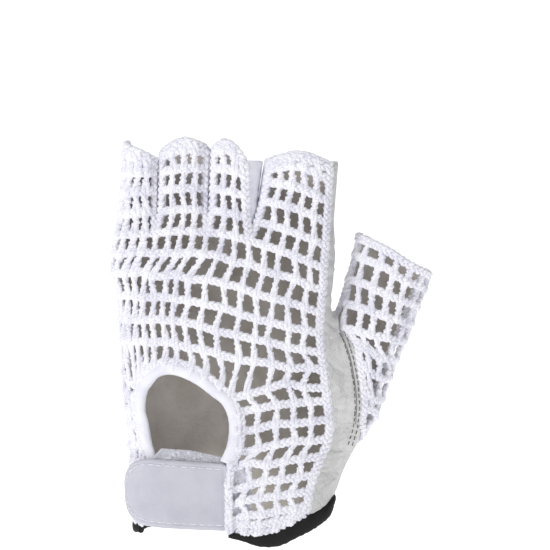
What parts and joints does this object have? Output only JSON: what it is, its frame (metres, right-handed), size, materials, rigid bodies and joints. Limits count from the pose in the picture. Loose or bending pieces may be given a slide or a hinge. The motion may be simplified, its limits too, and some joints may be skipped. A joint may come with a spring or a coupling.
{
  "type": "fingerless glove",
  "caption": "Left fingerless glove in its worn form, with a net crochet back, leather palm, open back with a strap, and a bound cuff.",
  "frame": {"origin": "centre of the wrist opening, where the glove sits on the wrist", "axes": "+Z from the wrist to the fingers, +Y towards the palm, +X towards the thumb"},
  "size_m": [0.1298, 0.0452, 0.1639],
  "materials": {
    "crochet": "matt crocheted cotton",
    "leather": "soft, fine grain",
    "side_leather": "soft, fine grain",
    "binding": "smooth rolled tape",
    "strap": "smooth, stitched",
    "fleece": "brushed loops",
    "cuff": "matt woven tape"
  },
  "bodies": {
    "root": {"crochet_back": "crochet", "thumb_crochet": "crochet", "palm_leather": "leather", "thumb_leather": "leather", "fourchette_little_ring": "side_leather", "fourchette_ring_middle": "side_leather", "fourchette_middle_index": "side_leather", "opening_binding": "binding", "wrist_strap": "strap", "strap_backing": "fleece", "cuff_binding": "cuff"}
  },
  "joints": []
}
